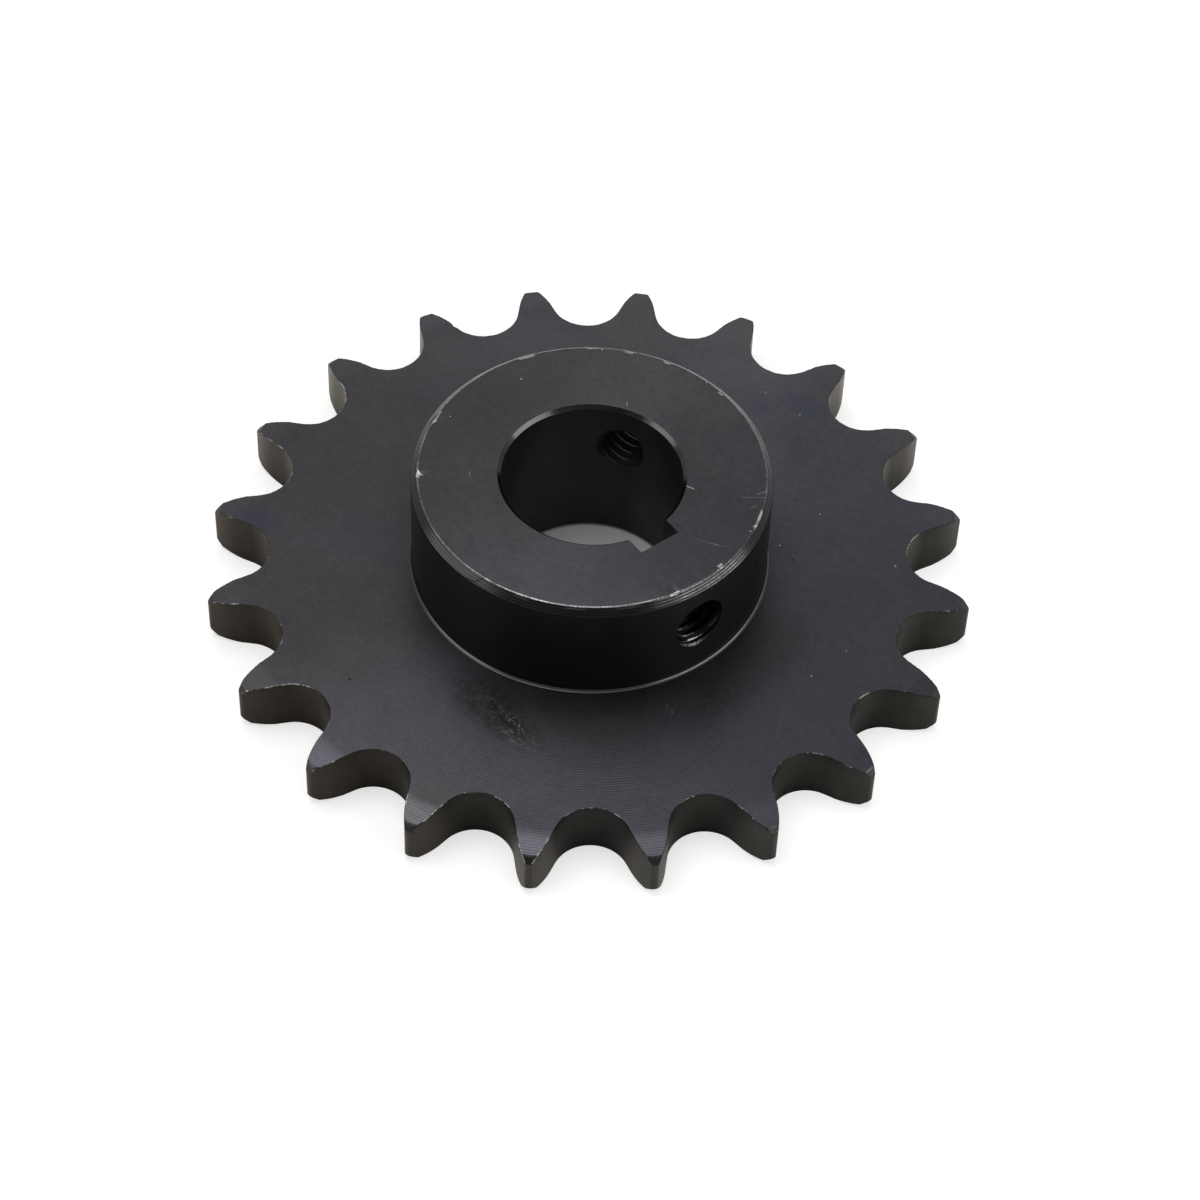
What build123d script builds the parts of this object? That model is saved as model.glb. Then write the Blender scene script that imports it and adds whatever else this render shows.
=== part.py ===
from build123d import *
from math import radians, sin
import os

# Roller-chain sprocket with a one-sided hub, all in millimetres.
# Origin on the axis at the underside of the toothed plate, +Z towards the hub's nose.
# The keyway and the middle of one tooth gap lie along +X.

# Chain that it runs with
tooth_count = 20
pitch = 15.875
pitch_radius = pitch / 2 / sin(radians(180 / tooth_count))

# Tooth gap: a round seat for the roller, a short straight flank, a rounded tooth top
seat_radius = 5.31
seat_angle = 129.0
flank_length = 2.4
topping_radius = 11.8
topping_sweep = 24.0
cutter_radius = 58.0

# Toothed plate, with both sides of the teeth turned down towards the tips
tip_radius = 54.5
plate_thickness = 8.5
relief_start_radius = 50.4
relief_drop = 0.6
tip_chamfer = 1.0

# Hub on one side
hub_radius = 25.3
hub_length = 16.9
hub_chamfer = 1.0
hub_root_fillet = 0.5

# Bore with a keyway for a 6.35 mm square key
bore_radius = 12.7
bore_chamfer = 0.55
keyway_width = 6.35
keyway_floor = 15.6

# Two tapped holes for set screws, drawn at the tap drill size (thread 7.94 mm, 18 per inch)
tap_drill_radius = 3.265
countersink_radius = 4.2
countersink_angle = 90
set_screw_height = 9.0
set_screw_angles = {"keyway": 0.0, "side": 122.0}

overall_length = plate_thickness + hub_length
relief_end_radius = tip_radius - tip_chamfer

os.makedirs("parts", exist_ok=True)

# Half of the turned section, from the bore out to the tooth tips
with BuildSketch(Plane.XZ) as section:
    with BuildLine():
        Polyline(
            (bore_radius, bore_chamfer),
            (bore_radius + bore_chamfer, 0),
            (relief_start_radius, 0),
            (relief_end_radius, relief_drop),
            (tip_radius, relief_drop + tip_chamfer),
            (tip_radius, plate_thickness - relief_drop - tip_chamfer),
            (relief_end_radius, plate_thickness - relief_drop),
            (relief_start_radius, plate_thickness),
            (hub_radius, plate_thickness),
            (hub_radius, overall_length - hub_chamfer),
            (hub_radius - hub_chamfer, overall_length),
            (bore_radius + bore_chamfer, overall_length),
            (bore_radius, overall_length - bore_chamfer),
            close=True,
        )
    make_face()
    hub_root = section.vertices().sort_by_distance((hub_radius, plate_thickness))[0]
    fillet(hub_root, radius=hub_root_fillet)

# One tooth gap, open to the outside, drawn as its upper half and mirrored
with BuildSketch() as tooth_gap:
    with BuildLine():
        seat = CenterArc((pitch_radius, 0), seat_radius, 180, -seat_angle / 2)
        flank = PolarLine(seat @ 1, flank_length, direction=seat % 1)
        topping = JernArc(flank @ 1, flank % 1, topping_radius, topping_sweep)
        Polyline(topping @ 1, (cutter_radius, (topping @ 1).Y), (cutter_radius, 0))
        mirror(about=Plane.XZ)
    make_face()

with BuildPart() as sprocket:
    add(section.sketch)
    revolve(axis=Axis.Z)

    # Tooth gaps
    with BuildSketch():
        with PolarLocations(0, tooth_count):
            add(tooth_gap.sketch)
    extrude(amount=plate_thickness, mode=Mode.SUBTRACT)

    # Keyway, right through the bore
    with BuildSketch():
        Rectangle(keyway_floor, keyway_width, align=(Align.MIN, Align.CENTER))
    extrude(amount=overall_length, mode=Mode.SUBTRACT)

    # Tapped holes, from the hub's wall into the bore
    for angle in set_screw_angles.values():
        outward = Vector(1, 0, 0).rotate(Axis.Z, angle)
        mouth_centre = outward * hub_radius + Vector(0, 0, plate_thickness + set_screw_height)
        with Locations(Plane(mouth_centre, z_dir=outward)):
            CounterSinkHole(tap_drill_radius, countersink_radius, hub_radius, countersink_angle)

sprocket.part.label = "sprocket"
export_step(sprocket.part, "parts/sprocket.step")
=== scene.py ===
import math

import bpy
import numpy as np
from mathutils import Matrix, Vector


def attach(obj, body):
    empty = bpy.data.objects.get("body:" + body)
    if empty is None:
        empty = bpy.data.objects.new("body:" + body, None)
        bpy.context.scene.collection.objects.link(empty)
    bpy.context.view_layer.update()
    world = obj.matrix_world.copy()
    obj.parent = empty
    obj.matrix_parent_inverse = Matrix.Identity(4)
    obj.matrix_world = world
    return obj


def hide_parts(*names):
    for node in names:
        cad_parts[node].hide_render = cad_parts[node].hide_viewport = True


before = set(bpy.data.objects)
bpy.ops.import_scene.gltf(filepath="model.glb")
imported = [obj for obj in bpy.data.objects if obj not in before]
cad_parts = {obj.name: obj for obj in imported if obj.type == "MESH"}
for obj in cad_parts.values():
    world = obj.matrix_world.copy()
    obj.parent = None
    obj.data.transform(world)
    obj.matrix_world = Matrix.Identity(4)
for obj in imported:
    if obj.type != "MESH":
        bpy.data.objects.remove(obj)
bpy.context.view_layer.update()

# A black-oxide steel roller-chain sprocket on a pale floor. Lengths in this script are millimetres
# until a mesh or an object is made, and metres from there on.

MM = 0.001
rng = np.random.default_rng(20)


# ---------------------------------------------------------------- sizes

teeth = 20
pitch = 15.875
pitch_radius = pitch / 2 / math.sin(math.pi / teeth)

seat_radius = 5.31
seat_half_angle = math.radians(64.5)
flank_length = 2.4
topping_radius = 11.8

tip_radius = 54.5
plate = 8.5
relief_start = 50.4
relief_end = 53.5
relief_drop = 0.6

hub_radius = 25.3
total = 25.4
hub_chamfer = 1.0
root_fillet = 0.5

bore_radius = 12.7
bore_chamfer = 0.55
key_width = 6.35
key_floor = 15.6

thread_minor = 3.26
thread_major = 3.97
thread_pitch = 1.411
thread_start = 9.0     # inside the bore, from the axis
countersink = 4.2
screw_z = 17.5
screw_angles = (0.0, 122.0)

edge_break = 0.08      # how much every sharp edge is rounded off
edge_fade = 0.24       # how far the wear runs from an edge
tip_fade = 0.12        # and how far at the tips
tip_round = 0.37       # rounding of the corners of a tooth's tip
nose_wear = 0.3        # wear at the outer and inner edge of the hub's nose
columns = 16           # mesh columns per tooth

# material index of each kind of surface
FACE, NOSE, FLANK, TIP, HUB, CHAMFER, BORE, KEYWAY, THREAD_PAINTED_DARKER, THREAD_PAINTED_LIGHTER, CONE = range(11)

# knocks on the rim of the hub's nose: degrees round from the keyway, half width in degrees, depth
knocks = ((10, 1.4, 0.16), (31, 2.0, 0.14), (36, 5.0, 0.20), (94.4, 1.2, 0.14), (117, 1.6, 0.16),
          (130.7, 1.8, 0.14), (143, 2.5, 0.12), (166.5, 3.0, 0.15), (210, 3.0, 0.16), (235, 1.6, 0.30),
          (300, 4.0, 0.08), (318, 6.0, 0.10), (335, 6.0, 0.10), (351, 2.2, 0.22))
# nicks in the upper edges of the teeth: x, y, depth
nicks = ((-48.2, 10.1, 0.42), (-24.6, 47.8, 0.30), (52.6, -9.4, 0.22), (9.3, -52.0, 0.22))
# rubbed places on the hub's chamfer: degrees round from the keyway, half width in degrees, how bright
rubs = ((95, 4.0, 0.25), (117, 1.8, 0.6), (130.5, 2.0, 0.9), (139, 4.5, 0.9), (144, 1.8, 1.0),
        (166.5, 4.2, 1.0), (210, 2.5, 0.3), (60, 20.0, 0.22))

camera_azimuth = -38.35
photo_width = 1200
sky_light = 0.55       # the world, as soft light
card_light = 0.17      # the dark card's own glow
# area lamps: azimuth, elevation, width and height in metres, radiance
lamps = {"side_box_left": (243.5, 26, 0.945, 0.38, 2.0), "side_box_right": (30, 29, 1.25, 0.46, 2.75),
         "top_box": (201.65, 78, 0.8, 0.8, 2.4)}
# the world's dim corner: azimuth and elevation, then from and to a cosine, from and to a brightness
corner_at, corner_ramp = (71.65, 60), (0.78, 0.98, 1.0, 0.62)
# the floor's white, as seen and as mirrored: from and to a radius in metres, from and to a strength
floor_whites = ((0.016, 0.030, 0.02, 0.55), (0.046, 0.062, 0.02, 0.80))


# ---------------------------------------------------------------- mesh

class Shell:
    """Patches of quads. Every corner has the surface's own normal, and a value for worn edges and for painted
    highlights and shade.
    """

    def __init__(self):
        self.points, self.normals, self.wear_and_sheen, self.quads, self.kinds = [], [], [], [], []
        self.count = 0

    def patch(self, points, normals, wear_and_sheen, kind, closed=False):
        """points and normals are rows x columns x 3. kind is one number, or one per row or per quad."""
        rows, cols = points.shape[:2]
        index = self.count + np.arange(rows * cols).reshape(rows, cols)
        if closed:
            index = np.hstack([index, index[:, :1]])
        a, b, c, d = index[:-1, :-1], index[:-1, 1:], index[1:, 1:], index[1:, :-1]
        quads = np.stack([a, b, c, d], -1)
        kinds = np.broadcast_to(kind if np.ndim(kind) == 2 else np.reshape(kind, (-1, 1)), a.shape)
        self.points.append(points.reshape(-1, 3))
        self.normals.append(normals.reshape(-1, 3))
        self.wear_and_sheen.append(np.broadcast_to(wear_and_sheen, (rows, cols)).reshape(-1))
        self.quads.append(quads.reshape(-1, 4))
        self.kinds.append(kinds.reshape(-1))
        self.count += rows * cols

    def mesh(self, name):
        points = np.vstack(self.points)
        normals = np.vstack(self.normals)
        wear_and_sheen = np.concatenate(self.wear_and_sheen)
        quads = np.vstack(self.quads)
        kinds = np.concatenate(self.kinds)
        # weld the patches together
        _, first, where = np.unique(np.round(points, 4), axis=0, return_index=True, return_inverse=True)
        where = where.reshape(-1)
        welded = where[quads]
        # turn each quad to face the way its normals point
        p = points[first][welded]
        area = np.cross(p[:, 2] - p[:, 0], p[:, 3] - p[:, 1])
        turn = np.einsum("ij,ij->i", area, normals[quads].sum(1)) < 0
        welded[turn] = welded[turn][:, ::-1]
        quads = quads.copy()
        quads[turn] = quads[turn][:, ::-1]
        faces, corners, face_kinds = [], [], []
        for face, source, kind in zip(welded.tolist(), quads.tolist(), kinds.tolist()):
            keep = [i for i in range(4) if face[i] != face[i - 1]]
            if len(keep) > 2:
                faces.append([face[i] for i in keep])
                corners.extend(source[i] for i in keep)
                face_kinds.append(kind)
        mesh = bpy.data.meshes.new(name)
        mesh.from_pydata((points[first] * MM).tolist(), [], faces)
        mesh.polygons.foreach_set("material_index", face_kinds)
        mesh.polygons.foreach_set("use_smooth", [True] * len(faces))
        mesh.attributes.new("shade", "FLOAT_VECTOR", "CORNER").data.foreach_set(
            "vector", normals[corners].reshape(-1))
        # the same value marks worn edges, and also painted highlights and painted shade
        mesh.attributes.new("wear_and_sheen", "FLOAT", "CORNER").data.foreach_set("value", wear_and_sheen[corners])
        return mesh


def unit(v):
    v = np.asarray(v, float)
    return v / np.maximum(np.linalg.norm(v, axis=-1, keepdims=True), 1e-12)


def turn_from(degrees, middle):
    """How far round from a middle line: -180 to 180."""
    return (degrees - middle + 180) % 360 - 180


def near(degrees, middle, half):
    """1 round the middle of a sector, falling to 0 at its ends."""
    return np.clip(1.6 * (1 - np.abs(turn_from(degrees, middle)) / half), 0, 1)


def link(obj):
    bpy.context.scene.collection.objects.link(obj)
    return obj


def top_height(r):
    """Height of the plate's upper face, with the teeth turned down towards their tips."""
    r = np.asarray(r, float)
    z = plate - relief_drop * np.clip((r - relief_start) / (relief_end - relief_start), 0, 1)
    return z - np.clip(r - relief_end, 0, None)


def top_slope(r):
    """Radial and upward parts of the upper face's normal, softened over each crease."""
    angle = np.interp(r, [relief_start - 0.9, relief_start + 0.9, relief_end - 0.05, relief_end + 0.05],
                      [0, math.atan(relief_drop / (relief_end - relief_start)),
                       math.atan(relief_drop / (relief_end - relief_start)), math.pi / 4])
    return np.sin(angle), np.cos(angle)


def gap_outline(s):
    """Half of a tooth gap: points and directions into the tooth, at lengths s from the gap's bottom."""
    seat_length = seat_radius * seat_half_angle
    end = math.pi - seat_half_angle
    seat_end = np.array([pitch_radius + seat_radius * math.cos(end), seat_radius * math.sin(end)])
    along = np.array([math.sin(end), -math.cos(end)])
    into = np.array([math.cos(end), math.sin(end)])
    flank_end = seat_end + flank_length * along
    centre = flank_end + topping_radius * into
    points, inward = [], []
    for length in s:
        if length <= seat_length:
            a = math.pi - length / seat_radius
            inward.append([math.cos(a), math.sin(a)])
            points.append([pitch_radius + seat_radius * math.cos(a), seat_radius * math.sin(a)])
        elif length <= seat_length + flank_length:
            inward.append(into)
            points.append(seat_end + (length - seat_length) * along)
        else:
            a = end + (length - seat_length - flank_length) / topping_radius
            inward.append([math.cos(a), math.sin(a)])
            points.append(centre - topping_radius * np.array(inward[-1]))
    return np.array(points, float), np.array(inward, float)


def tooth_loop():
    """One tooth's rounded side and the land across its tip, each as points and directions inwards."""
    s = np.linspace(0, 14, 4001)
    dense, _ = gap_outline(s)
    radius = np.hypot(dense[:, 0], dense[:, 1])
    corner = float(np.interp(tip_radius, radius, s))
    marks = [float(np.interp(r, radius, s)) for r in
             (relief_start - 0.08, relief_start + 0.08, relief_end - 0.05, relief_end + 0.05)]
    plain = np.concatenate([np.linspace(0, seat_radius * seat_half_angle, 15),
                            np.linspace(seat_radius * seat_half_angle, corner - tip_round, 20)[1:]])
    plain = [v for v in plain if min(abs(v - m) for m in marks) > 0.12]
    s = np.array(sorted(plain + marks))
    side, inward = gap_outline(s)
    # the land across the tooth's tip
    corner_point, _ = gap_outline([corner])
    start = math.atan2(corner_point[0, 1], corner_point[0, 0]) + tip_round / tip_radius
    half = math.pi / teeth
    angles = np.linspace(start, 2 * half - start, columns + 1)
    land = tip_radius * np.stack([np.cos(angles), np.sin(angles)], 1)
    t = np.array([[0.25], [0.5], [0.75]])
    bend = (1 - t) ** 2 * side[-1] + 2 * t * (1 - t) * corner_point + t ** 2 * land[0]
    bend_in = unit((1 - t) * inward[-1] - t * unit(land[0]))
    return np.vstack([side, bend]), np.vstack([inward, bend_in]), land, -unit(land)


def mirrored(v):
    """The other side of the tooth: mirrored in the line through its middle."""
    a = 2 * math.pi / teeth
    return np.stack([v[:, 0] * math.cos(a) + v[:, 1] * math.sin(a),
                     v[:, 0] * math.sin(a) - v[:, 1] * math.cos(a)], 1)


def turned(v, k):
    """Carried round by k teeth."""
    a = 2 * math.pi / teeth * k
    c, s = math.cos(a), math.sin(a)
    return np.stack([v[:, 0] * c - v[:, 1] * s, v[:, 0] * s + v[:, 1] * c], 1)


def with_next(rows):
    """Rows round one tooth, each ended with the next tooth's first value."""
    rows = np.array(rows)
    first = np.column_stack([turned(rows[:, 0, :2], 1), rows[:, 0, 2]])
    return np.concatenate([rows, first[:, None]], axis=1)


def add_teeth(shell):
    """The teeth, as an upper and a lower half. Returns the radius within which the faces are turned."""
    side, inward, land, land_in = tooth_loop()
    loop = np.vstack([side, land, mirrored(side)[:0:-1]])
    into = np.vstack([inward, land_in, mirrored(inward)[:0:-1]])
    rows = len(side)
    radius = np.hypot(side[:, 0], side[:, 1])
    half_width = radius * (math.pi / teeth - np.arctan2(side[:, 1], side[:, 0]))
    fade = np.minimum(edge_fade, 0.3 * half_width)
    fade[-3:] = tip_fade
    fade_loop = np.concatenate([fade, np.full(len(land), tip_fade), fade[:0:-1]])
    loop_radius = np.hypot(loop[:, 0], loop[:, 1])
    at_tip = loop_radius > tip_radius - 0.15
    wall_normal = np.hstack([-into, np.zeros((len(into), 1))])
    for k in range(teeth):
        chipped = 1 + 0.45 * rng.uniform(-1, 1, len(loop))
        chipped[0] = 1
        rubbed = np.where(at_tip, rng.uniform(0.2, 0.8), 1.0)
        for upper in (True, False):
            sign = 1 if upper else -1

            def height(r, sink=0.0):
                z = top_height(r) - sink
                return z if upper else plate - z

            def facing(xy):
                r = np.hypot(xy[:, 0], xy[:, 1])
                outward, up = top_slope(r)
                return np.stack([xy[:, 0] / r * outward, xy[:, 1] / r * outward, sign * up], 1)

            # edge strips, from the wall over the rounded edge and onto the face
            width = edge_break * (chipped if upper else np.ones(len(loop)))
            if upper:
                for x, y, depth in nicks:
                    away = np.hypot(*(turned(loop, k) - (x, y)).T)
                    width = np.maximum(width, depth * np.clip(1.3 - away / 0.45, 0, 1))
            inner = loop + into * width[:, None]
            inner2 = loop + into * np.maximum(edge_break + fade_loop, width + 0.03)[:, None]
            strips, normals, wears = [], [], []
            for xy, z, n, w in (
                    (loop, np.full(len(loop), plate / 2), wall_normal, 0),
                    (loop, height(loop_radius, edge_break + 2 * edge_fade), wall_normal, 0),
                    (loop, height(loop_radius, edge_break + edge_fade), wall_normal, 0),
                    (loop, height(loop_radius, width), wall_normal, 1),
                    (inner, height(np.hypot(inner[:, 0], inner[:, 1])), facing(inner), 1),
                    (inner2, height(np.hypot(inner2[:, 0], inner2[:, 1])), facing(inner2), 0)):
                strips.append(np.column_stack([turned(xy, k), z]))
                normals.append(np.column_stack([turned(n[:, :2], k), n[:, 2]]))
                wears.append(np.append(w * rubbed, w * rubbed[0]))
            kinds = np.repeat([[FLANK], [FLANK], [FLANK], [FLANK], [FACE]], len(loop), axis=1)
            reach = np.minimum(loop_radius, np.append(loop_radius[1:], loop_radius[0]))
            kinds[:4, reach > tip_radius - 0.12] = TIP
            kinds[4, reach > relief_end] = TIP
            shell.patch(with_next(strips), with_next(normals), np.array(wears), kinds)

            # the face between the two flanks, row by row outwards
            left = inner2[:rows + 1]
            r = np.hypot(left[:, 0], left[:, 1])
            a = np.arctan2(left[:, 1], left[:, 0])
            a[0] = 0
            span = 2 * math.pi / teeth
            t = np.linspace(0, 1, columns + 1)
            angle = a[:, None] + t[None, :] * (span - 2 * a)[:, None] + k * span
            x, y = r[:, None] * np.cos(angle), r[:, None] * np.sin(angle)
            z = np.broadcast_to(height(r)[:, None], x.shape)
            outward, up = top_slope(r)
            n = np.stack([np.cos(angle) * outward[:, None], np.sin(angle) * outward[:, None],
                          np.broadcast_to(sign * up[:, None], x.shape)], -1)
            shell.patch(np.stack([x, y, z], -1), n, 0.0, np.where(r[:-1] > relief_end, TIP, FACE))
    return float(np.hypot(*(loop[0] + into[0] * (edge_break + edge_fade))))


def add_turned(shell, outer_radius):
    """The plate's faces inside the teeth, the hub and the bore, as one turned profile."""
    # radius, height, normal out, normal up, worn edge and painted light value, kind of the strip that follows
    profile = []

    def straight(start, end, kind, steps=1, first=edge_break, last=edge_break, worn=(1, 1)):
        a, b = np.array(start, float), np.array(end, float)
        d = unit(b - a)
        n = np.array([d[1], -d[0]])
        length = np.linalg.norm(b - a)
        fade = min(edge_fade, (length - first - last) / 3)
        at = [first, first + fade] if first else [0.0]
        tail = [length - last - fade, length - last] if last else [length]
        middle = np.linspace(at[-1], tail[0], steps + 1)[1:-1].tolist()
        for i, t in enumerate(at + middle + tail):
            p = a + d * t
            edge = (first and i == 0) * worn[0] or (last and i == len(at + middle + tail) - 1) * worn[1]
            profile.append((p[0], p[1], n[0], n[1], float(edge), kind))

    def hollow(centre, radius, start, end, kind, steps, worn):
        for share, a in zip(np.linspace(0, 1, steps + 1), np.radians(np.linspace(start, end, steps + 1))):
            out, up = math.cos(a), math.sin(a)
            profile.append((centre[0] + radius * out, centre[1] + radius * up, -out, -up,
                            worn * math.sin(math.pi * share) ** 2, kind))

    # The walk starts inwards over the upper face, with the metal on its left
    straight((outer_radius, plate), (hub_radius + root_fillet, plate), FACE, 8, 0, 0)
    # the middle of the rounded root is marked for a painted highlight
    hollow((hub_radius + root_fillet, plate + root_fillet), root_fillet, 270, 180, HUB, 8, 0.6)
    lip = 0.012
    straight((hub_radius, plate + root_fillet), (hub_radius, total - hub_chamfer), HUB, 6, 0, lip, (0, 0))
    # the hub's chamfer keeps the fine steps of the turning tool, up to a rounded and knocked rim
    groove, deep, steps, round_off = 0.40, 0.028, 6, 0.20
    # each step's crest is marked for a painted highlight, and its valley for painted shade
    crest_painted_light = (1.0, 0.65, -0.25, -0.6, -0.25, 0.65)
    start = np.array([hub_radius, total - hub_chamfer])
    d = unit([-1.0, 1.0])
    n = np.array([d[1], -d[0]])
    length = hub_chamfer * math.sqrt(2) - round_off
    rows = int(round((length - lip) / groove * steps))
    for i in range(rows + 1):
        u = (i / steps) % 1
        t = lip + (length - lip) * i / rows
        sink = deep * (1 - (2 * u - 1) ** 2)
        tilt = 4 * deep * (2 * u - 1) / groove if u else 0.0
        nn = unit(n - tilt * d)
        p = start + d * t - n * sink
        profile.append((p[0], p[1], nn[0], nn[1], crest_painted_light[i % steps], CHAMFER))
    rings = (len(profile) - rows - 1, len(profile))
    rim = np.array([hub_radius - hub_chamfer, total])
    for share in (0.2, 0.45, 0.7, 0.95):
        # a smooth turn from the chamfer's line to the nose, inside the corner
        p = ((1 - share) ** 2 * (rim - d * round_off) + 2 * share * (1 - share) * rim
             + share ** 2 * (rim - [0.09, 0]))
        a = math.radians(45 + 45 * share)
        profile.append((p[0], p[1], math.cos(a), math.sin(a), 1.0, CHAMFER))
    rim_rows = (rings[0], len(profile) + 3)
    wide, small = bore_radius + bore_chamfer, 0.05
    straight((hub_radius - hub_chamfer, total), (wide, total), NOSE, 5, 0.12, small, (nose_wear, nose_wear))
    straight((wide, total), (bore_radius, total - bore_chamfer), CHAMFER, 2, small, small, (0, 0))
    straight((bore_radius, total - bore_chamfer), (bore_radius, bore_chamfer), BORE, 10, small, small,
             (0.2, 0))
    straight((bore_radius, bore_chamfer), (wide, 0), CHAMFER, 2, small, small, (0, 0.3))
    straight((wide, 0), (outer_radius, 0), FACE, 10, small, 0)

    profile = np.array(profile, float)
    angle = 2 * math.pi * np.arange(columns * teeth) / (columns * teeth)
    c, s = np.cos(angle)[None, :], np.sin(angle)[None, :]
    r, z, out, up, wear_and_sheen = (profile[:, i:i + 1] for i in range(5))
    points = np.stack([r * c, r * s, z + 0 * c], -1)
    normals = unit(np.stack([out * c, out * s, up + 0 * c], -1))
    wear_and_sheen = wear_and_sheen + 0 * c
    # the painted highlights and shade of the steps show in three sectors of the chamfer, crests bright and
    # valleys dark, and one sector has painted shade all over
    degrees = np.degrees(angle)
    wear_and_sheen[rings[0]:rings[1]] *= np.max([0.95 * near(degrees, 4, 32), 0.7 * near(degrees, 274, 34),
                                       0.35 * near(degrees, 202, 26)], axis=0)
    wear_and_sheen[rings[0]:rings[1]] -= 0.34 * near(degrees, 249, 15)
    # the painted highlight in the middle of the rounded root is dimmed in one sector
    root = (profile[:, 5] == HUB) & (profile[:, 1] < plate + root_fillet - 0.01) & (profile[:, 4] > 0.45)
    wear_and_sheen[root] *= 1 - 0.75 * near(degrees, 247, 22)
    knock_rim(points, normals, wear_and_sheen, *rim_rows)
    shell.patch(points, normals, wear_and_sheen, profile[:-1, 5].astype(int), closed=True)


def knock_rim(points, normals, wear_and_sheen, first, last):
    """Pushes the rim of the hub's nose back where it was knocked, and leaves it bright there. It also paints
    highlights along the rim, by sector.
    """
    part = points[first:last]
    angle = np.degrees(np.arctan2(part[..., 1], part[..., 0]))
    radius = np.hypot(part[..., 0], part[..., 1])
    away = np.hypot(radius - (hub_radius - hub_chamfer), part[..., 2] - total)
    # one stretch is the most uneven, and its rim gets the most wear and the most painted highlight
    most = near(angle, 320, 46)
    uneven = rng.uniform(0, 0.05, part.shape[1])
    push = (uneven + np.roll(uneven, 1)) / 2 * (0.25 + 0.75 * most)
    for at, half, depth in knocks:
        push += depth * np.clip(1 - (turn_from(angle, at) / half) ** 2, 0, 1)
    push *= np.exp(-(away / 0.42) ** 4)
    lean = math.radians(66)
    inwards = np.stack([-part[..., 0] / radius * math.cos(lean), -part[..., 1] / radius * math.cos(lean),
                        np.full(radius.shape, -math.sin(lean))], -1)
    moved = part + inwards * push[..., None]
    along = np.roll(moved, -1, axis=1) - np.roll(moved, 1, axis=1)
    up = np.gradient(moved, axis=0)
    facing = unit(np.cross(along, up))
    share = np.clip(push / 0.06, 0, 1)[..., None]
    normals[first:last] = unit(normals[first:last] * (1 - share) + facing * share)
    points[first:last] = moved
    rim = wear_and_sheen[first:last]
    # painted highlight along the rim's edge and rounded ring, stronger in some sectors and weaker in others
    edge = rim == nose_wear
    rim[edge] = (nose_wear + 0.5 * most + 0.45 * near(angle, 188, 24))[edge]
    ring = away < 0.25
    rim[ring] *= (0.86 + 0.14 * most - 0.12 * near(angle, 28, 26))[ring]
    # in one sector the rim's painted highlight is narrowed to a fine line
    rim[ring] *= (1 - 0.45 * near(angle, 265, 40) * np.clip((away - 0.075) / 0.05, 0, 1))[ring]
    bright = np.clip((push - 0.05) / 0.10, 0, 1.3)
    for at, half, amount in rubs:
        rub = amount * np.clip(1.5 - 1.5 * (turn_from(angle, at) / half) ** 2, 0, 1) * (away < 1.3)
        bright = np.maximum(bright, rub)
    wear_and_sheen[first:last] = np.maximum(rim, bright)


# ---------------------------------------------------------------- cutters

def box_cutter(low, high, kind):
    shell = Shell()
    low, high = np.array(low, float), np.array(high, float)
    for axis in range(3):
        u, v = [i for i in range(3) if i != axis]
        for value, sign in ((low[axis], -1), (high[axis], 1)):
            p = np.zeros((2, 2, 3))
            p[..., axis] = value
            p[0, :, u], p[1, :, u] = low[u], high[u]
            p[:, 0, v], p[:, 1, v] = low[v], high[v]
            n = np.zeros((2, 2, 3))
            n[..., axis] = sign
            shell.patch(p, n, 0.0, kind)
    return shell


def thread_cutter(start, highlight_side, kind):
    """A tapped hole's inside as a solid, along +X, from start to beyond the hub's wall."""
    around = 48
    phase = np.array([0.00, 0.05, 0.13, 0.20, 0.27, 0.43, 0.585, 0.615, 0.68, 0.71])
    depth = thread_major - thread_minor
    shape_u = np.array([0.00, 0.05, 0.20, 0.27, 0.585, 0.615, 0.68, 0.71, 1.00])
    shape_r = thread_minor + np.array([0.06, 0, 0, 0.06, depth - 0.04, depth, depth, depth - 0.04, 0.06])
    stop = hub_radius + 1.2
    theta = 2 * math.pi * np.arange(around + 1) / around

    def radius(x):
        thread = np.interp((x / thread_pitch - theta / (2 * math.pi)) % 1, shape_u, shape_r)
        return np.maximum(thread, countersink - (hub_radius - x))

    first = int(math.floor(start / thread_pitch)) - 1
    last = int(math.ceil(stop / thread_pitch)) + 1
    x = np.array([(t + u) * thread_pitch for t in range(first, last) for u in phase])
    x = np.clip(x[:, None] + thread_pitch * theta[None, :] / (2 * math.pi), start, stop)
    r = radius(x)
    points = np.stack([x, r * np.cos(theta), r * np.sin(theta)], -1)
    # the last column is the first one, a pitch further on
    points[:, -1, 1], points[:, -1, 2] = r[:, -1], 0.0
    outward = points.copy()
    outward[..., 0] = 0
    # painted highlight: the crests on one side and the lower side of the mouth's cone are made bright
    mouth = countersink - (hub_radius - x) > thread_minor + 0.02
    crest_painted_light = np.clip(1 - (r - thread_minor) / 0.10, 0, 1) * near(np.degrees(theta), highlight_side, 62)[None, :]
    worn = np.where(mouth, near(np.degrees(theta), -122, 60)[None, :], crest_painted_light)
    shell = Shell()
    shell.patch(points, unit(outward), worn, np.where(mouth[:-1, :-1], CONE, kind))
    for end, side in ((start, -1.0), (stop, 1.0)):
        r = radius(end)
        ring = np.stack([np.full(around + 1, end), r * np.cos(theta), r * np.sin(theta)], -1)
        ring[-1] = ring[0]
        cap = np.broadcast_to([end, 0.0, 0.0], ring.shape)
        shell.patch(np.stack([cap, ring]), np.broadcast_to([side, 0, 0], (2, *ring.shape)), 0.0, kind)
    return shell


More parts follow.
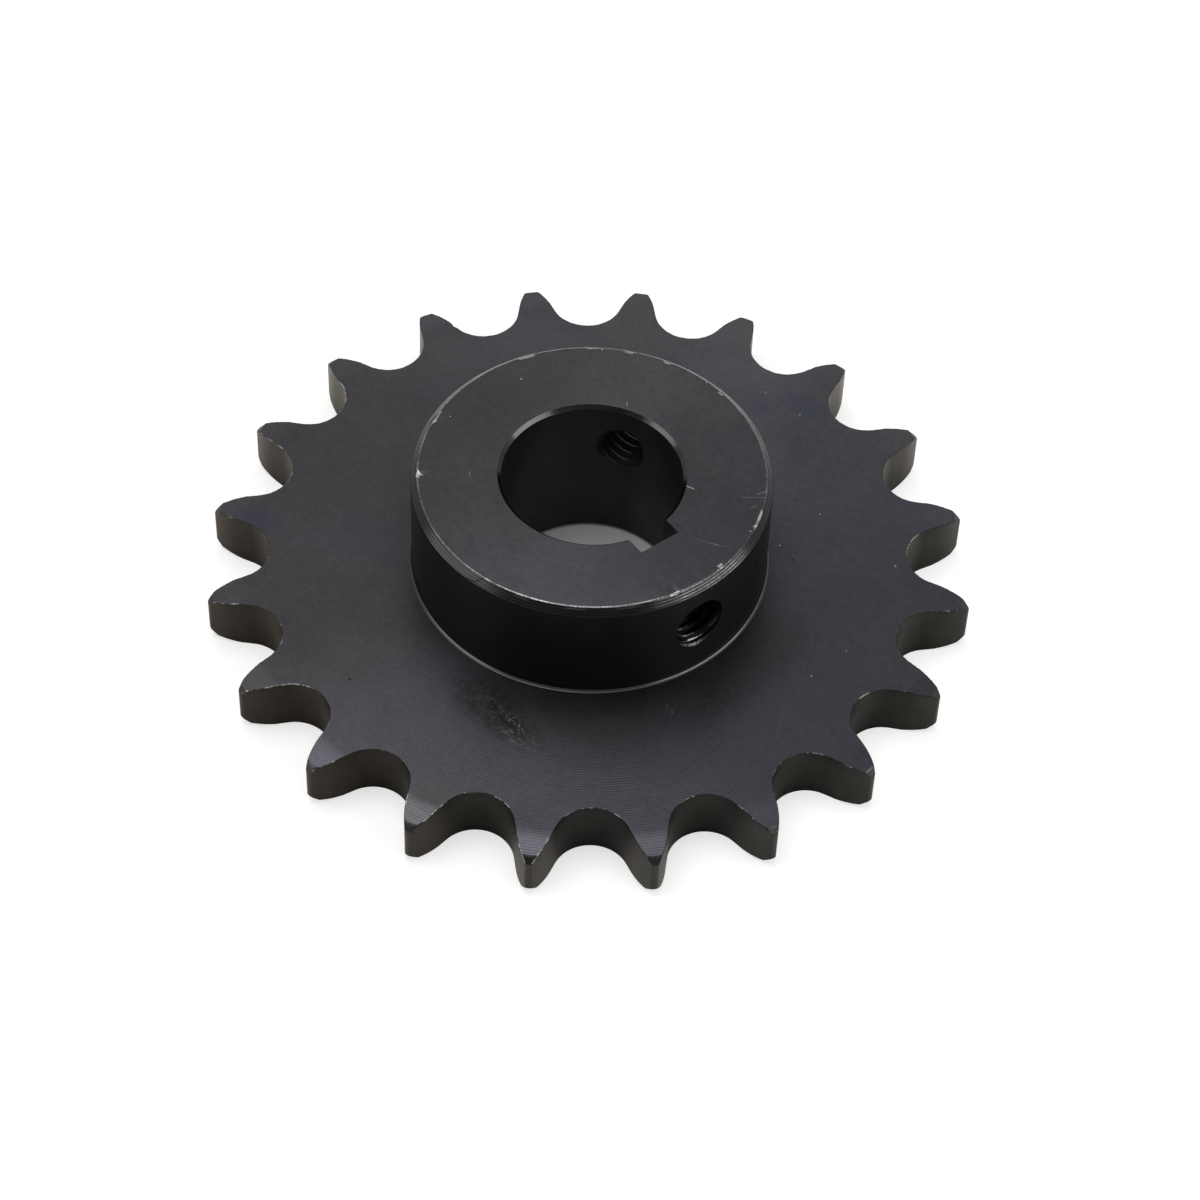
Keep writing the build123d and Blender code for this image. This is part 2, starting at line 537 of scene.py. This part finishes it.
def cutter_object(name, mesh, matrix, smooth):
    mesh.transform(matrix)
    mesh.update()
    if smooth:
        normals = np.zeros(len(mesh.vertices) * 3, np.float32)
        mesh.vertices.foreach_get("normal", normals)
        normals = normals.reshape(-1, 3)
        index = np.zeros(len(mesh.loops), np.int32)
        mesh.loops.foreach_get("vertex_index", index)
        shade = normals[index]
    else:
        shade = np.array([p.normal for p in mesh.polygons for _ in p.loop_indices], float)
    mesh.attributes["shade"].data.foreach_set("vector", (-shade).astype(np.float32).reshape(-1))
    return link(bpy.data.objects.new(name, mesh))


def cut(obj, cutter):
    modifier = obj.modifiers.new("cut", "BOOLEAN")
    modifier.operation = "DIFFERENCE"
    modifier.solver = "EXACT"
    modifier.material_mode = "INDEX"
    modifier.object = cutter
    bpy.context.view_layer.update()
    depsgraph = bpy.context.evaluated_depsgraph_get()
    mesh = bpy.data.meshes.new_from_object(obj.evaluated_get(depsgraph), depsgraph=depsgraph)
    obj.modifiers.clear()
    obj.data = mesh
    bpy.data.objects.remove(cutter)


def make_sprocket():
    shell = Shell()
    inner = add_teeth(shell)
    add_turned(shell, inner)
    obj = link(bpy.data.objects.new("sprocket_body", shell.mesh("sprocket_body")))
    key = box_cutter((0.0, -key_width / 2, -1.0), (key_floor, key_width / 2, total + 1.0), KEYWAY)
    cut(obj, cutter_object("key", key.mesh("key"), Matrix.Identity(4), False))
    for angle, highlight_side, kind in zip(screw_angles, (-138, -62), (THREAD_PAINTED_DARKER, THREAD_PAINTED_LIGHTER)):
        hole = thread_cutter(thread_start, highlight_side, kind).mesh("hole")
        place = Matrix.Rotation(math.radians(angle), 4, "Z") @ Matrix.Translation((0, 0, screw_z * MM))
        cut(obj, cutter_object("hole", hole, place, True))
    mesh = obj.data
    shade = np.zeros(len(mesh.loops) * 3, np.float32)
    mesh.attributes["shade"].data.foreach_get("vector", shade)
    mesh.polygons.foreach_set("use_smooth", [True] * len(mesh.polygons))
    mesh.normals_split_custom_set(unit(shade.reshape(-1, 3)).tolist())
    mesh.update()
    return obj


# ---------------------------------------------------------------- materials

class Graph:
    """The nodes of a material or of the world, with short names for the few kinds that are used."""

    def __init__(self, owner):
        owner.use_nodes = True
        self.tree = owner.node_tree

    def put(self, socket, value):
        if isinstance(value, bpy.types.NodeSocket):
            self.tree.links.new(value, socket)
        elif hasattr(value, "__len__") and len(value) == 3 and socket.type == "RGBA":
            socket.default_value = (*value, 1)
        else:
            socket.default_value = value

    def node(self, kind, inputs=(), **settings):
        """Adds a node with its settings and inputs, and gives its outputs."""
        node = self.tree.nodes.new("ShaderNode" + kind)
        for name, value in settings.items():
            setattr(node, name, value)
        for name, value in dict(inputs).items():
            self.put(node.inputs[name], value)
        return node.outputs

    def math(self, operation, *values):
        return self.node("Math", enumerate(values), operation=operation)[0]

    def chain(self, operation, values):
        result = values[0]
        for value in values[1:]:
            result = self.math(operation, result, value)
        return result

    def sum(self, *values):
        return self.chain("ADD", values)

    def times(self, *values):
        return self.chain("MULTIPLY", values)

    def most(self, *values):
        return self.chain("MAXIMUM", values)

    def vector(self, operation, *values, **inputs):
        outputs = self.node("VectorMath", [*enumerate(values), *inputs.items()], operation=operation)
        return outputs["Value" if operation in ("LENGTH", "DISTANCE", "DOT_PRODUCT") else "Vector"]

    def join(self, x, y, z=0.0):
        return self.node("CombineXYZ", enumerate((x, y, z)))[0]

    def noise(self, where, scale, detail=2.0, roughness=0.5):
        """Values about 0.5, mostly from 0.3 to 0.7. The scale is in turns per millimetre."""
        return self.node("TexNoise", {"Vector": where, "Scale": scale, "Detail": detail,
                                      "Roughness": roughness})["Fac"]

    def about(self, noise, amount):
        """A noise's change either way, by half the amount at the most."""
        return self.times(self.math("SUBTRACT", noise, 0.5), amount)

    def ramp(self, value, low, high, at_low=0.0, at_high=1.0, kind="SMOOTHSTEP"):
        return self.node("MapRange", {"Value": value, "From Min": low, "From Max": high, "To Min": at_low,
                                      "To Max": at_high}, interpolation_type=kind)["Result"]

    def mix(self, factor, a, b, kind="RGBA"):
        return self.node("Mix", {"Factor": factor, "A": a, "B": b}, data_type=kind)["Result"]

    def blend(self, factor, a, b):
        """A number from a to b."""
        return self.mix(factor, a, b, "FLOAT")

    def tint(self, colour, amount):
        """The colour made lighter or darker by a number about 1."""
        return self.vector("MULTIPLY", colour, self.join(amount, amount, amount))

    def lines(self, across, feed, along, wander=0.15):
        """Tool marks: waves of one feed across the surface, uneven along it. -1 to 1."""
        drift = self.noise(self.join(self.times(across, 0.9), along), 1.0, 2.0)
        wave = self.math("SINE", self.sum(self.times(across, 2 * math.pi / feed),
                                          self.times(drift, 2 * math.pi * wander)))
        uneven = self.noise(self.join(self.times(across, 1 / feed), along), 1.0, 1.0)
        return self.times(wave, self.ramp(uneven, 0.25, 0.7, 0.35, 1.0))

    def ray(self, kind):
        return self.node("LightPath")[f"Is {kind} Ray"]

    def seen_directly(self):
        """1 for what the camera, a gloss or a see-through surface looks at, 0 for soft light."""
        rays = self.ray("Camera")
        for kind in ("Glossy", "Transmission"):
            rays = self.node("Math", {0: rays, 1: self.ray(kind)}, operation="ADD", use_clamp=True)[0]
        return rays


class Steel(Graph):
    """One finish of the sprocket, and the marks on it. Lengths are millimetres."""

    def __init__(self, name):
        self.material = bpy.data.materials.new(name)
        super().__init__(self.material)
        self.shader = self.tree.nodes["Principled BSDF"].inputs
        self.place = self.vector("SCALE", self.node("TexCoord")["Object"], Scale=1 / MM)
        self.x, self.y, self.z = self.node("SeparateXYZ", {0: self.place})
        self.radius = self.vector("LENGTH", self.stretched(1, 1, 0))
        self.angle = self.math("ARCTAN2", self.y, self.x)
        self.wear_and_sheen = self.node("Attribute", attribute_name="wear_and_sheen")["Fac"]

    def stretched(self, x, y, z):
        """The place scaled along each axis on its own."""
        return self.vector("MULTIPLY", self.place, (x, y, z))

    def facing(self, degrees, low, high, at_low=0.0, at_high=1.0):
        """A sector of the turned faces: at_high round its middle line, and at_low away from it."""
        away = self.math("COSINE", self.sum(self.angle, -math.radians(degrees)))
        return self.ramp(away, math.cos(math.radians(low)), math.cos(math.radians(high)), at_low, at_high)

    def dust(self, spacing, share, size):
        """Small round specks: 1 on a speck. Only a share of the cells has one."""
        cells = self.node("TexVoronoi", {"Vector": self.place, "Scale": 1 / spacing})
        chosen = self.math("LESS_THAN", self.math("FRACT", self.times(cells["Color"], 7.31)), share)
        spot = self.ramp(cells["Distance"], 0.5 * size / spacing, size / spacing, 1.0, 0.0)
        return self.times(chosen, spot)

    def specks(self, *places):
        """Single specks on a flat face, each with its x, y and half width."""
        marks = []
        for x, y, half in places:
            away = self.vector("DISTANCE", self.stretched(1, 1, 0), (x, y, 0))
            marks.append(self.ramp(away, 0.4 * half, half, 1.0, 0.0))
        return self.most(*marks)

    def scratches(self, *places):
        """Fine straight scratches on a flat face, each with its two ends, half width and strength."""
        marks = []
        for ax, ay, bx, by, width, strength in places:
            length = math.hypot(bx - ax, by - ay)
            ux, uy = (bx - ax) / length, (by - ay) / length
            from_start = self.vector("SUBTRACT", self.place, (ax, ay, 0))
            along = self.vector("DOT_PRODUCT", from_start, (ux, uy, 0))
            across = self.math("ABSOLUTE", self.vector("DOT_PRODUCT", from_start, (uy, -ux, 0)))
            inside = self.times(self.math("GREATER_THAN", along, 0.0), self.math("LESS_THAN", along, length))
            marks.append(self.times(inside, self.ramp(across, 0.4 * width, width, 1.0, 0.0), strength))
        return self.most(*marks)

    def patches(self, *places):
        """Soft ovals on a flat face, each with its middle, half sizes, turn in degrees and strength."""
        marks = []
        for x, y, wide, tall, turn, strength in places:
            c, s = math.cos(math.radians(turn)), math.sin(math.radians(turn))
            from_middle = self.vector("SUBTRACT", self.place, (x, y, 0))
            u = self.vector("DOT_PRODUCT", from_middle, (c / wide, s / wide, 0))
            v = self.vector("DOT_PRODUCT", from_middle, (-s / tall, c / tall, 0))
            oval = self.ramp(self.sum(self.times(u, u), self.times(v, v)), 0.05, 1.0, 1.0, 0.0)
            marks.append(self.times(oval, strength))
        return self.most(*marks)

    def bump(self, height, depth):
        """height is about -1 to 1, and depth is millimetres."""
        bump = self.node("Bump", {"Strength": 1.0, "Distance": depth * MM, "Height": height})
        self.put(self.shader["Normal"], bump[0])

    def worn_edges_and_sheen(self, low=0.76, high=0.96, fine=2.0, runs=1.3, bits=0.8):
        """Where an edge has lost its black, and where a painted highlight lies: 0 to 1, in broken runs along
        the edge.
        """
        worn = self.sum(self.times(self.wear_and_sheen, 0.72), self.about(self.noise(self.place, 0.28, 2.0), runs),
                        self.about(self.noise(self.place, fine, 3.0, 0.6), bits))
        return self.times(self.ramp(worn, low, high), self.math("GREATER_THAN", self.wear_and_sheen, 0.02))

    def turned_grain(self):
        """Light drawn out across the turned rings."""
        self.put(self.shader["Tangent"], self.node("Tangent", direction_type="RADIAL", axis="Z")[0])
        self.put(self.shader["Anisotropic"], 0.6)
        self.put(self.shader["Anisotropic Rotation"], 0.25)

    def finish(self, colour, roughness, bare_and_sheen, bare_and_sheen_colour, metallic=1.0, edge_tint=(0.6, 0.6, 0.6)):
        """Joins the black oxide to the bright steel of its worn edges and of its painted highlights."""
        self.put(self.shader["Base Color"], self.mix(bare_and_sheen, colour, bare_and_sheen_colour))
        self.put(self.shader["Roughness"], self.blend(bare_and_sheen, roughness, 0.32))
        self.put(self.shader["Metallic"], metallic)
        self.put(self.shader["Specular Tint"], edge_tint)
        return self.material


def plate_face():
    g = Steel("plate_face")
    marks = g.lines(g.radius, 0.42, g.times(g.angle, 3.0))
    # the tool's rings catch the light in front of the hub, and hardly show elsewhere
    side = g.facing(-50, 60, 20, 0.10, 1.0)
    cloud = g.noise(g.place, 0.055, 3.0, 0.55)
    mottle = g.noise(g.place, 1.1, 3.0, 0.6)
    grain = g.noise(g.place, 3.5, 3.0, 0.65)
    # painted light: the outer part of the face lighter on the far side
    far = g.times(g.facing(138, 50, 15), g.ramp(g.radius, 36, 43))
    shade = g.sum(1.0, g.times(marks, side, 0.24), g.about(cloud, 0.5), g.about(mottle, 0.4),
                  g.about(grain, 0.35), g.times(far, 0.13))
    relief = g.ramp(g.radius, relief_start - 2.0, relief_start + 1.5, 1.0, 1.15)
    # only the upper face has the hub, and the marks that were placed one by one
    upper = g.math("GREATER_THAN", g.z, plate / 2)
    # painted shade: the upper face darker towards the foot of the hub
    hub_painted_shade = g.blend(upper, 1.0, g.ramp(g.radius, hub_radius + 0.5, hub_radius + 6.5, 0.86, 1.0))
    blue = g.ramp(g.noise(g.place, 0.035, 2.0), 0.42, 0.62)
    oxide = g.mix(blue, (0.0535, 0.0530, 0.0570), (0.0530, 0.0527, 0.0612))
    colour = g.tint(oxide, g.times(shade, relief, hub_painted_shade))
    # painted shade: bluer and darker to the right of the keyway, and darker and warmer in two places by the
    # hub
    colour = g.vector("MULTIPLY", colour, g.mix(g.facing(34, 50, 22), (1, 1, 1), (0.895, 0.90, 0.965)))
    band = g.times(g.ramp(g.radius, 26.2, 29.0), g.ramp(g.radius, 32.0, 37.0, 1.0, 0.0))
    band_painted_shade = g.times(band, g.most(g.facing(-40, 24, 8), g.facing(13, 24, 8)), upper, 0.45)
    colour = g.mix(band_painted_shade, colour, (0.030, 0.030, 0.027))
    # bluish stains, and a rubbed patch in front of the hub
    for place in ((-32.8, -35.4, 5.0, 3.0, 40, 0.3), (-4.6, 43.2, 5.0, 3.0, 20, 0.3),
                  (-8.2, 37.6, 2.6, 1.8, 20, 0.3)):
        colour = g.mix(g.times(g.patches(place), upper), colour, (0.032, 0.038, 0.068))
    smear = g.times(g.patches((15.5, -27.6, 11.0, 4.2, 6, 0.66), (32.0, -1.6, 2.2, 6.0, 8, 0.25)),
                    g.ramp(g.noise(g.place, 0.8, 5.0, 0.75), 0.34, 0.60))
    core = g.times(g.patches((17.6, -27.2, 6.4, 1.8, 4, 0.92)),
                   g.ramp(g.noise(g.place, 1.3, 4.0, 0.7), 0.30, 0.55))
    colour = g.mix(g.times(g.most(smear, core), upper), colour, (0.017, 0.017, 0.013))
    crumbs = g.noise(g.stretched(1.0, 2.2, 1), 1.7, 4.0, 0.8)
    rubbed = g.patches((19.0, -26.6, 5.6, 0.9, 3, 1.0), (22.4, -28.3, 2.2, 0.7, 22, 1.0),
                       (20.4, -28.4, 2.4, 1.5, 10, 1.0), (14.5, -27.6, 5.0, 1.6, 5, 0.3),
                       (32.0, -1.6, 2.0, 5.5, 8, 0.25))
    flecks = g.times(g.ramp(crumbs, 0.55, 0.63), rubbed, 0.55)
    specks = g.specks((27.2, 34.2, 0.22), (36.0, 11.8, 0.20), (-3.8, 41.5, 0.17), (-10.3, 40.2, 0.15),
                      (13.2, 31.6, 0.17), (35.3, 18.6, 0.15), (14.6, 23.1, 0.16))
    hairs = g.scratches((28.09, -7.51, 29.12, -8.15, 0.07, 0.4), (29.53, -7.76, 30.02, -7.82, 0.07, 0.4),
                        (30.02, -7.82, 30.27, -8.44, 0.07, 0.4))
    pits = g.specks((17.8, 22.9, 0.30), (-0.5, -40.8, 0.35))
    colour = g.mix(g.times(pits, upper, 0.7), colour, (0.015, 0.012, 0.012))
    placed = g.times(g.most(flecks, g.times(specks, 0.8), hairs), upper)
    bare_and_sheen = g.most(g.worn_edges_and_sheen(), placed, g.times(g.dust(4.0, 0.10, 0.10), 0.5))
    rough = g.sum(0.31, g.about(cloud, 0.2))
    g.bump(g.sum(g.times(marks, side), g.times(grain, 0.5)), 0.0035)
    g.turned_grain()
    return g.finish(colour, rough, bare_and_sheen, (0.27, 0.27, 0.26))


def hub_nose():
    g = Steel("hub_nose")
    marks = g.lines(g.radius, 0.22, g.times(g.angle, 2.0))
    cloud = g.noise(g.place, 0.07, 3.0, 0.55)
    mottle = g.noise(g.place, 0.9, 3.0, 0.65)
    grain = g.noise(g.place, 3.0, 3.0, 0.65)
    # with painted light and shade by sector: lighter towards one side, darker towards two others
    shade = g.sum(0.95, g.times(marks, 0.05), g.about(cloud, 0.45), g.about(mottle, 0.45),
                  g.about(grain, 0.3), g.times(g.facing(-25, 55, 15), 0.07),
                  g.times(g.most(g.facing(-98, 35, 12), g.facing(78, 60, 25)), -0.07))
    # bluer towards the keyway, in patches
    blue = g.ramp(g.sum(g.x, g.about(g.noise(g.place, 0.12, 3.0), 50)), -16, 14)
    colour = g.tint(g.mix(blue, (0.0568, 0.0556, 0.0560), (0.0530, 0.0532, 0.0604)), shade)
    cuts = g.scratches(
        (9.5, 9.3, 10.5, 9.8, 0.12, 0.8), (15.6, 14.3, 17.2, 16.5, 0.05, 0.3),
        (16.4, 16.3, 16.6, 17.8, 0.06, 0.4), (17.85, 14.1, 17.9, 15.0, 0.06, 0.4),
        (23.62, 3.8, 23.56, 4.6, 0.24, 1.0), (-20.62, -12.4, -21.8, -10.3, 0.10, 0.8),
        (-11.45, 21.2, -10.55, 21.65, 0.16, 0.8), (-2.2, 23.95, -1.35, 24.0, 0.16, 0.7),
        (-16.2, 17.8, -15.3, 18.55, 0.13, 0.7), (-23.65, 4.6, -23.05, 6.8, 0.09, 1.0),
        (18.0, 4.35, 21.3, 6.75, 0.035, 0.35), (19.6, 5.5, 20.8, 6.35, 0.05, 0.5),
        (-8.2, 12.2, -7.5, 11.65, 0.06, 0.6), (-10.1, -13.8, -9.3, -14.2, 0.07, 0.4),
        (17.1, 16.4, 17.7, 17.4, 0.05, 0.4))
    specks = g.specks((-20.4, 2.5, 0.18), (-20.2, -9.9, 0.13), (-20.75, -12.1, 0.24), (-13.4, -20.05, 0.22),
                      (-18.45, 15.4, 0.16), (21.15, 11.4, 0.16), (20.6, 12.4, 0.14), (-4.7, 23.7, 0.15))
    bare_and_sheen = g.most(g.worn_edges_and_sheen(), cuts, specks, g.times(g.dust(4.0, 0.10, 0.10), 0.5))
    g.bump(g.sum(marks, g.times(grain, 0.5)), 0.0015)
    g.turned_grain()
    return g.finish(colour, g.sum(0.36, g.about(cloud, 0.15)), bare_and_sheen, (0.36, 0.36, 0.35))


def tooth_flank():
    g = Steel("tooth_flank")
    # level streaks left by the cutter, over uneven patches of oxide
    streak = g.noise(g.stretched(0.20, 0.20, 2.4), 1.0, 3.0, 0.6)
    upright = g.noise(g.stretched(0.6, 0.6, 0.10), 1.0, 3.0, 0.6)
    blotch = g.noise(g.place, 0.30, 3.0, 0.6)
    grain = g.noise(g.place, 2.6, 3.0, 0.65)
    # darker towards the upper and lower edges
    by_edge = g.ramp(g.math("ABSOLUTE", g.sum(g.z, -plate / 2)), 2.6, 4.0, 1.0, 0.8)
    shade = g.times(by_edge, g.sum(1.0, g.about(grain, 0.5), g.about(streak, 0.7), g.about(upright, 0.6),
                                   g.about(blotch, 0.8)))
    # the oxide is browner on one side of the sprocket
    brown = g.ramp(g.vector("DOT_PRODUCT", g.place, (-0.62, -0.784, 0)), -5.0, 48.0)
    colour = g.tint(g.mix(brown, (0.0190, 0.0186, 0.0166), (0.0235, 0.0184, 0.0140)), shade)
    bare_and_sheen = g.most(g.worn_edges_and_sheen(), g.times(g.dust(3.5, 0.08, 0.10), 0.7))
    g.bump(g.sum(streak, g.times(grain, 0.4)), 0.008)
    return g.finish(colour, 0.42, bare_and_sheen, (0.22, 0.22, 0.21), metallic=0.9, edge_tint=(1.0, 0.96, 0.92))


def tooth_tip():
    g = Steel("tooth_tip")
    grain = g.noise(g.place, 2.5, 3.0, 0.65)
    g.bump(grain, 0.010)
    return g.finish(g.tint((0.034, 0.033, 0.031), g.sum(0.5, grain)), 0.42, g.worn_edges_and_sheen(0.72, 0.92),
                    (0.25, 0.25, 0.24), edge_tint=(0.8, 0.8, 0.8))


def hub_side():
    g = Steel("hub_side")
    marks = g.noise(g.join(g.times(g.angle, 1.5), g.times(g.z, 6.0)), 1.0, 3.0, 0.6)
    cloud = g.noise(g.place, 0.12, 3.0, 0.5)
    # painted light: lighter on the keyway's side, and a painted highlight along its rounded root
    lit = g.most(g.facing(9, 38, 12, 0.86, 1.45), g.facing(-82, 26, 12, 0.86, 1.02))
    shade = g.times(lit, g.sum(0.75, g.about(marks, 0.35), g.times(cloud, 0.5)))
    root = g.ramp(g.wear_and_sheen, 0.20, 0.6, 0.0, 1.0)
    root_painted_highlight = g.times(g.facing(-90, 78, 40, 1.0, 0.8), g.facing(-62, 32, 8, 1.0, 1.22))
    colour = g.mix(root, g.tint((0.042, 0.042, 0.037), shade), g.tint((0.084, 0.087, 0.096), root_painted_highlight))
    bare_and_sheen = g.most(g.worn_edges_and_sheen(), g.times(g.dust(3.5, 0.07, 0.09), 0.7))
    g.bump(marks, 0.003)
    return g.finish(colour, g.blend(root, 0.26, 0.20), bare_and_sheen, (0.36, 0.36, 0.35), metallic=0.9)


def chamfer_finish():
    g = Steel("chamfer")
    cloud = g.noise(g.place, 0.25, 3.0, 0.6)
    # painted light and shade: the valleys of its steps darker than the crests, and the bore's chamfer
    # lighter, most of all in two sectors; the bore's chamfer is smooth
    inner = g.ramp(g.radius, 15.0, 20.0, 1.0, 0.0)
    inside = g.most(g.facing(172, 45, 12, 1.15, 2.15), g.facing(100, 26, 12, 1.15, 1.80))
    shade = g.times(g.sum(0.50, g.times(cloud, 0.8)), g.ramp(g.wear_and_sheen, 0.0, 0.8, 0.85, 2.1),
                    g.ramp(g.wear_and_sheen, -0.6, 0.0, 0.40, 1.0), g.blend(inner, 0.9, inside))
    # one dark cut, right across it
    cut = g.scratches((4.9, -24.75, 6.14, -24.4, 0.11, 1.0), (6.14, -24.4, 7.2, -22.95, 0.11, 1.0))
    shade = g.times(shade, g.ramp(cut, 0.0, 1.0, 1.0, 0.35))
    return g.finish(g.tint((0.034, 0.034, 0.0335), shade), g.blend(inner, 0.17, 0.11),
                    g.worn_edges_and_sheen(0.48, 1.0, 2.4, 0.4, 0.6), (0.42, 0.42, 0.42), metallic=0.9,
                    edge_tint=(0.70, 0.70, 0.70))


def bore_wall(name="bore_wall", along_axis=False):
    g = Steel(name)
    if along_axis:
        where = g.stretched(4.0, 4.0, 0.2)
    else:
        where = g.join(g.times(g.angle, 1.5), g.times(g.z, 4.0))
    marks = g.noise(where, 1.0, 3.0, 0.6)
    cloud = g.noise(g.place, 0.15, 3.0, 0.5)
    # painted light and shade by sector: lighter towards one side, darker towards another
    shade = g.times(g.facing(80, 42, 20, 0.96, 1.15), g.facing(138, 34, 12, 1.0, 0.82),
                    g.sum(0.66, g.about(marks, 0.4), g.times(cloud, 0.7)))
    g.bump(marks, 0.004)
    return g.finish(g.tint((0.048, 0.047, 0.0435), shade), 0.38, g.times(g.worn_edges_and_sheen(), 0.6),
                    (0.36, 0.36, 0.35), metallic=0.88)


def thread_finish(name, colour, roughness, low, bare_and_sheen_colour, metallic, bits=0.6):
    g = Steel(name)
    grain = g.noise(g.place, 2.2, 3.0, 0.6)
    g.bump(grain, 0.02)
    bare_and_sheen = g.worn_edges_and_sheen(low, low + 0.3, 2.4, 0.3, bits)
    return g.finish(g.tint(colour, g.sum(0.5, grain)), roughness, bare_and_sheen, bare_and_sheen_colour, metallic=metallic,
                    edge_tint=(0.3, 0.3, 0.3))


# ---------------------------------------------------------------- camera and studio

def direction(azimuth, elevation):
    """The unit vector at an azimuth and an elevation in degrees."""
    a, e = math.radians(azimuth), math.radians(elevation)
    return Vector((math.cos(e) * math.cos(a), math.cos(e) * math.sin(a), math.sin(e)))


def add_camera():
    """Stands where the photographer's camera stood, at the fitted distance, turn and roll."""
    distance, focal, sensor = 0.51540, 3614.0, 36.0
    shift_x, shift_y = -10.72, -47.10
    roll = math.radians(2.358)
    back = direction(camera_azimuth, 49.778)
    right = direction(camera_azimuth + 90, 0)
    up = back.cross(right)
    x = right * math.cos(roll) + up * math.sin(roll)
    y = up * math.cos(roll) - right * math.sin(roll)
    place = (Vector((0, 0, plate * MM)) + back * distance - x * (shift_x / focal * distance)
             + y * (shift_y / focal * distance))
    data = bpy.data.cameras.new("camera")
    data.sensor_width = sensor
    data.lens = focal / photo_width * sensor
    data.clip_start, data.clip_end = 0.01, 20.0
    camera = link(bpy.data.objects.new("camera", data))
    camera.matrix_world = Matrix((
        (x.x, y.x, back.x, place.x), (x.y, y.y, back.y, place.y), (x.z, y.z, back.z, place.z), (0, 0, 0, 1)))
    bpy.context.scene.camera = camera


def add_world():
    """White where it is seen, softer as light, with a dimmer corner high up for the gloss alone."""
    world = bpy.data.worlds.new("studio")
    bpy.context.scene.world = world
    g = Graph(world)
    towards = g.vector("DOT_PRODUCT", g.node("TexCoord")["Generated"], direction(*corner_at))
    seen = g.blend(g.ray("Glossy"), 1.0, g.ramp(towards, *corner_ramp))
    background = g.tree.nodes["Background"].inputs
    g.put(background["Color"], g.mix(g.seen_directly(), (sky_light, sky_light, sky_light), seen))
    g.put(background["Strength"], 1.0)


def sheet(name, half_width, half_height, colour):
    """A flat stage piece with a white glow of its own. Gives its nodes and its shader's inputs too."""
    w, h = half_width, half_height
    mesh = bpy.data.meshes.new(name)
    mesh.from_pydata([(-w, -h, 0), (w, -h, 0), (w, h, 0), (-w, h, 0)], [], [(0, 1, 2, 3)])
    material = bpy.data.materials.new(name)
    mesh.materials.append(material)
    g = Graph(material)
    shader = g.tree.nodes["Principled BSDF"].inputs
    g.put(shader["Base Color"], colour)
    g.put(shader["Emission Color"], (1, 1, 1))
    return link(bpy.data.objects.new(name, mesh)), g, shader


def add_floor():
    floor, g, shader = sheet("floor", 3.0, 3.0, (0.62, 0.61, 0.60))
    g.put(shader["Roughness"], 0.9)
    g.put(shader["Specular IOR Level"], 0.1)
    # the backdrop's white is left out of the small patch seen through the bore, and where the
    # teeth's own walls are mirrored in it, so that the gaps between them stay shaded
    radius = g.vector("LENGTH", g.node("TexCoord")["Object"])
    as_seen, as_mirrored = (g.ramp(radius, *white, "LINEAR") for white in floor_whites)
    white = g.blend(g.ray("Glossy"), as_seen, as_mirrored)
    g.put(shader["Emission Strength"], g.times(white, g.seen_directly()))


def aim(obj, azimuth, elevation, distance):
    back = direction(azimuth, elevation)
    obj.matrix_world = back.to_track_quat("Z", "Y").to_matrix().to_4x4()
    obj.location = back * distance


def add_lights():
    for name, (azimuth, elevation, width, height, radiance) in lamps.items():
        data = bpy.data.lights.new(name, "AREA")
        data.shape, data.size, data.size_y = "RECTANGLE", width, height
        data.energy = radiance * math.pi * width * height
        lamp = link(bpy.data.objects.new(name, data))
        aim(lamp, azimuth, elevation, 1.2)
        lamp.visible_camera = False


def add_card():
    """A dark card behind the camera, as the room's unlit side."""
    card, g, shader = sheet("dark_card", 1.1, 0.51, (0.02, 0.02, 0.02))
    g.put(shader["Emission Strength"], card_light)
    aim(card, camera_azimuth, 35, 1.1)
    card.visible_camera = card.visible_diffuse = card.visible_shadow = False


sprocket = make_sprocket()
# in the order of the material indices, FACE to CONE
for material in (plate_face(), hub_nose(), tooth_flank(), tooth_tip(), hub_side(), chamfer_finish(),
                 bore_wall(), bore_wall("keyway", True),
                 # one steel for both holes' threads: painted shade in the first hole, painted light in the
                 # one seen from the bore
                 thread_finish("thread", (0.0045, 0.0045, 0.0038), 0.45, 0.16, (0.22, 0.22, 0.217), 0.95),
                 thread_finish("thread_painted_lighter", (0.020, 0.020, 0.017), 0.55, 0.30, (0.09, 0.09, 0.09), 0.6),
                 thread_finish("cone", (0.016, 0.016, 0.014), 0.40, 0.45, (0.09, 0.09, 0.09), 0.95, 1.8)):
    sprocket.data.materials.append(material)
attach(sprocket, "root")
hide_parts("sprocket")
add_camera()
add_world()
add_floor()
add_lights()
add_card()
bpy.context.scene.view_settings.view_transform = "Standard"
